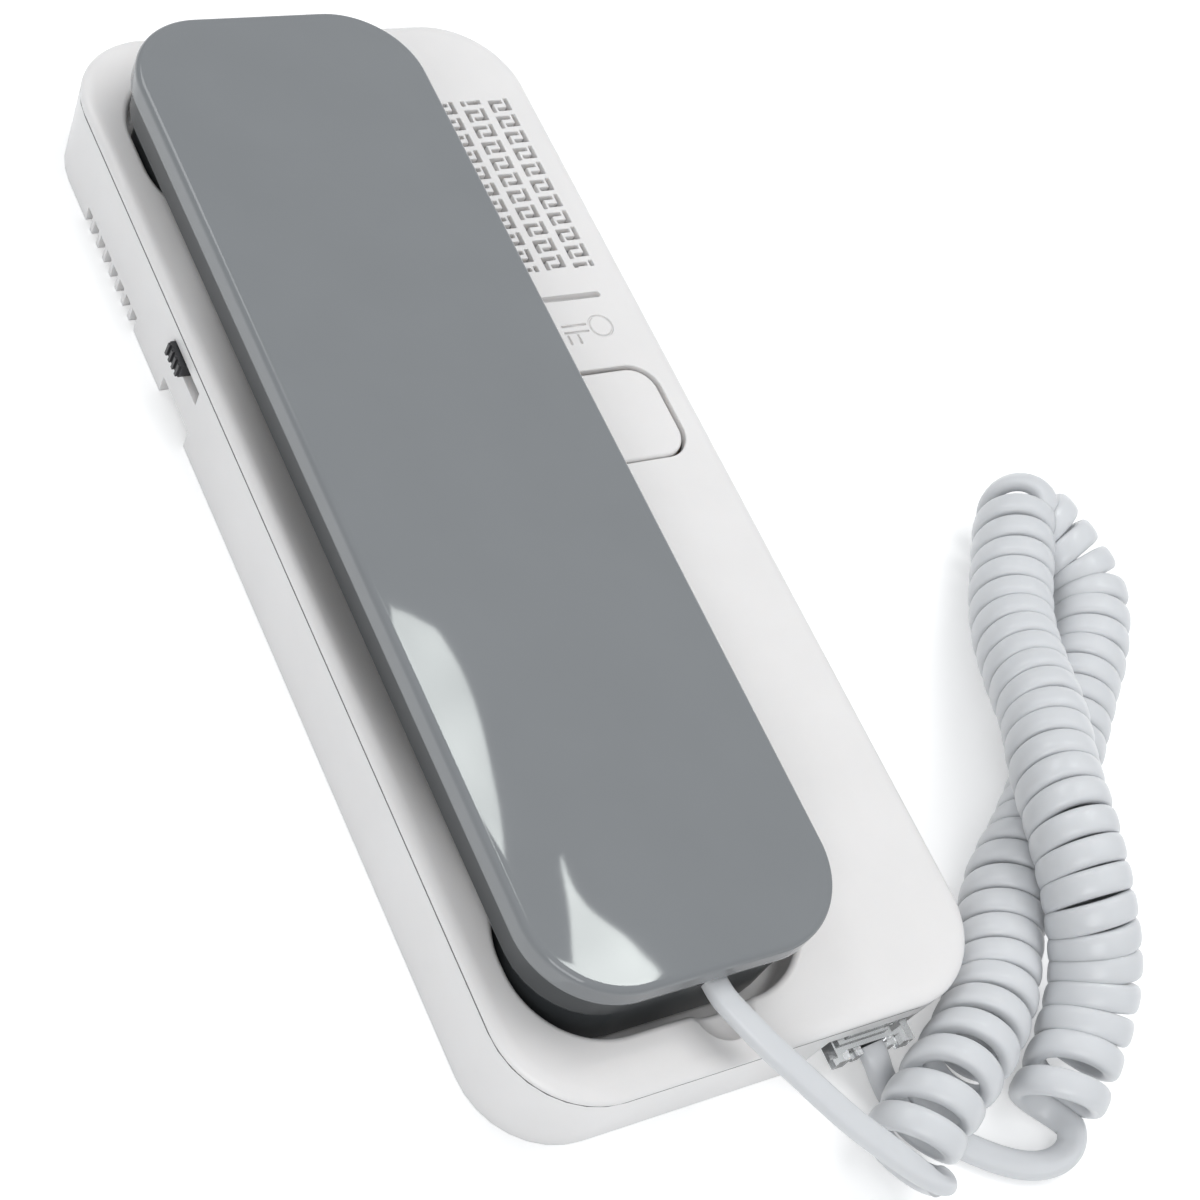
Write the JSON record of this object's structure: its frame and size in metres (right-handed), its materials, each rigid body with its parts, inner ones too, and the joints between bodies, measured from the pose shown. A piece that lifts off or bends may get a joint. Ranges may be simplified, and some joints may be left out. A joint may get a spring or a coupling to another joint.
{
  "type": "wall phone",
  "caption": "Slim door-entry wall phone: flat white base with door button, call speaker and cradle pockets, grey slab handset and a curly cord with a modular plug.",
  "frame": {"origin": "centre of the base's footprint on the wall plane, z = 0 at the rear rim", "axes": "+Z out of the face, +Y towards the ear end, +X to the right seen from the front"},
  "size_m": [0.16, 0.2277, 0.031],
  "materials": {
    "white_plastic": "satin white",
    "grey_plastic": "glossy mid grey",
    "cord_jacket": "satin light grey",
    "clear_plastic": "clear",
    "black_plastic": "matte black",
    "metal": "plated steel",
    "contact_metal": "gold plated",
    "board": "green",
    "soft_rubber": "matte",
    "wire_jacket": "matte red"
  },
  "bodies": {
    "base": {"rear_cover": "white_plastic", "front_cover": "white_plastic", "circuit_board": "board", "board_components": "black_plastic", "board_capacitors": "metal", "board_connectors": "white_plastic", "board_screws": "metal", "call_speaker": "black_plastic", "speaker_gasket": "soft_rubber", "speaker_retainer": "white_plastic", "speaker_wires": "wire_jacket", "door_switch": "black_plastic", "volume_switch": "metal", "hook_pin": "metal", "hook_spring": "metal", "hook_switch": "metal", "terminal_block": "board", "terminal_screws": "metal", "base_jack": "black_plastic", "jack_contacts": "contact_metal", "jack_wires": "cord_jacket", "cord_lead_handset": "cord_jacket", "cord_coil": "cord_jacket", "cord_lead_base": "cord_jacket", "modular_plug": "clear_plastic"},
    "handset": {"handset_outer_shell": "grey_plastic", "handset_inner_shell": "grey_plastic", "handset_screws": "metal", "earpiece": "metal", "earpiece_gasket": "soft_rubber", "microphone": "metal", "microphone_boot": "soft_rubber", "cord_anchor": "white_plastic", "handset_wires": "wire_jacket"},
    "hook": {"hook_lever": "white_plastic"},
    "button": {"door_button": "white_plastic", "door_switch_plunger": "white_plastic"},
    "volume": {"volume_knob": "black_plastic"}
  },
  "joints": [
    {"name": "handset_lift", "type": "slide", "parent": "base", "child": "handset", "axis": [0, 0, 1], "range_m": [0, 0.08]},
    {"name": "hook_hinge", "type": "hinge", "parent": "base", "child": "hook", "pos_m": [-0.0125, 0.044, 0.0122], "axis": [-1, 0, 0], "range_deg": [0, 6], "stiffness_Nm_per_rad": 0.0004, "springref_deg": 21.2},
    {"name": "button_press", "type": "slide", "parent": "base", "child": "button", "axis": [0, 0, -1], "range_m": [0, 0.0008], "stiffness_N_per_m": 600, "springref_m": -0.0005},
    {"name": "volume_slide", "type": "slide", "parent": "base", "child": "volume", "axis": [0, 1, 0], "range_m": [-0.0053, 0]}
  ],
  "couplings": [
    {"joint": "hook_hinge", "follows": "handset_lift", "rad_per_m": 1.3}
  ]
}
